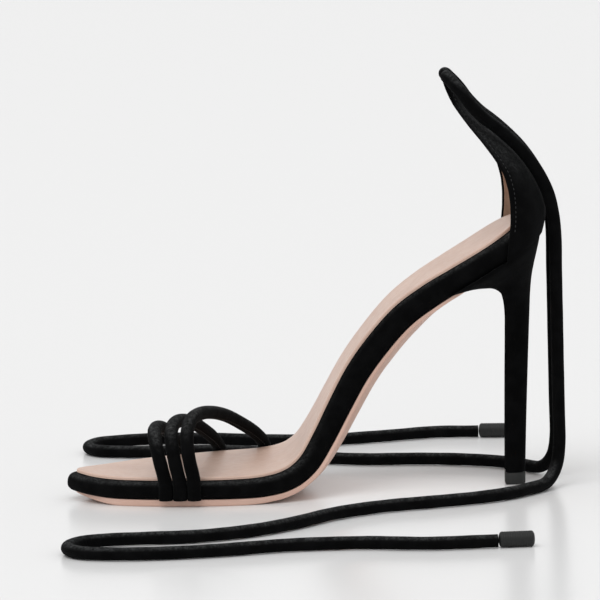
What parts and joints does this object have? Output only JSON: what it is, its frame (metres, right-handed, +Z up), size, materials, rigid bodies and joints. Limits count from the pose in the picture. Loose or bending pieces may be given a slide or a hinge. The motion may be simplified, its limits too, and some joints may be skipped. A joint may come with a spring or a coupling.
{
  "type": "lace up heeled sandal",
  "caption": "Open sandal on a high slender heel: narrow cords over the toes, a closed heel counter that narrows to a tab, and long cord ties for the ankle.",
  "frame": {"origin": "on the floor, under the middle of the shoe's bounding box, which leaves out the two ties and their tips", "axes": "+X from the toe to the heel, +Z up, -Y the inner side of this right shoe"},
  "size_m": [0.2056, 0.2785, 0.1719],
  "materials": {
    "velvet": "black velvet",
    "board_cover": "black velvet over a fibre insole board",
    "heel_cover": "black velvet over a moulded plastic heel",
    "nude_leather": "smooth sole leather, satin",
    "sock_leather": "lining leather, satin",
    "top_piece_rubber": "matt"
  },
  "bodies": {
    "root": {"outsole": "nude_leather", "sock_lining": "sock_leather", "top_piece": "top_piece_rubber", "insole_board": "board_cover", "counter": "velvet", "heel": "heel_cover", "toe_strap_front": "velvet", "toe_strap_middle": "velvet", "toe_strap_rear": "velvet", "tie_medial": "velvet", "tie_lateral": "velvet", "tie_tip_medial": "velvet", "tie_tip_lateral": "velvet"}
  },
  "joints": []
}
